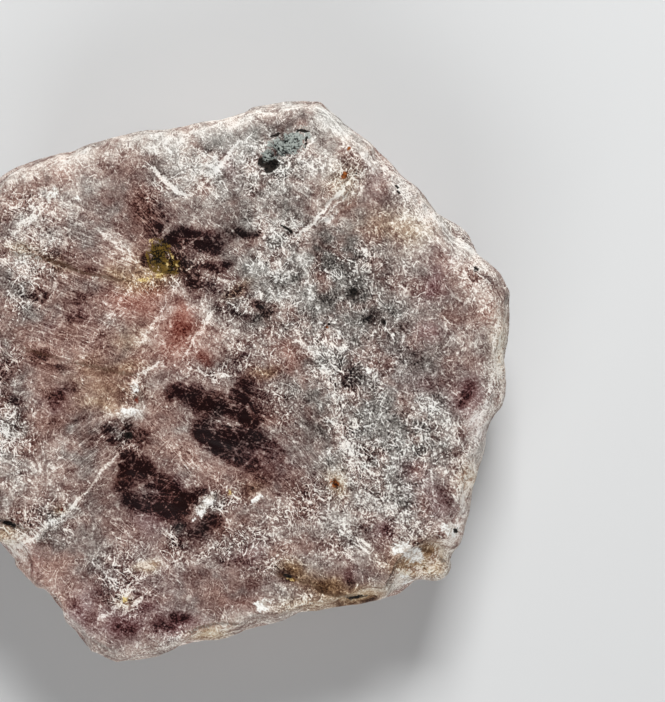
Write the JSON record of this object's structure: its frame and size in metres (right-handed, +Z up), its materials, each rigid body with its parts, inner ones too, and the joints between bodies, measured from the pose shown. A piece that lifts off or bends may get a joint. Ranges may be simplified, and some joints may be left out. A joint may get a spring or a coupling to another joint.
{
  "type": "ruby crystal",
  "caption": "Rough tabular ruby crystal, six-sided, with a frosted face, dark windows and a chipped rim, lying on its flat base.",
  "frame": {"origin": "middle of the flat face that the crystal rests on", "axes": "+Z up along the crystal's c axis, +X to its right-hand corner, +Y towards its top edge"},
  "size_m": [0.0524, 0.0438, 0.014],
  "materials": {
    "ruby_rough": "etched, frosted corundum with glassy dark windows"
  },
  "bodies": {
    "root": {"ruby_crystal": "ruby_rough"}
  },
  "joints": []
}
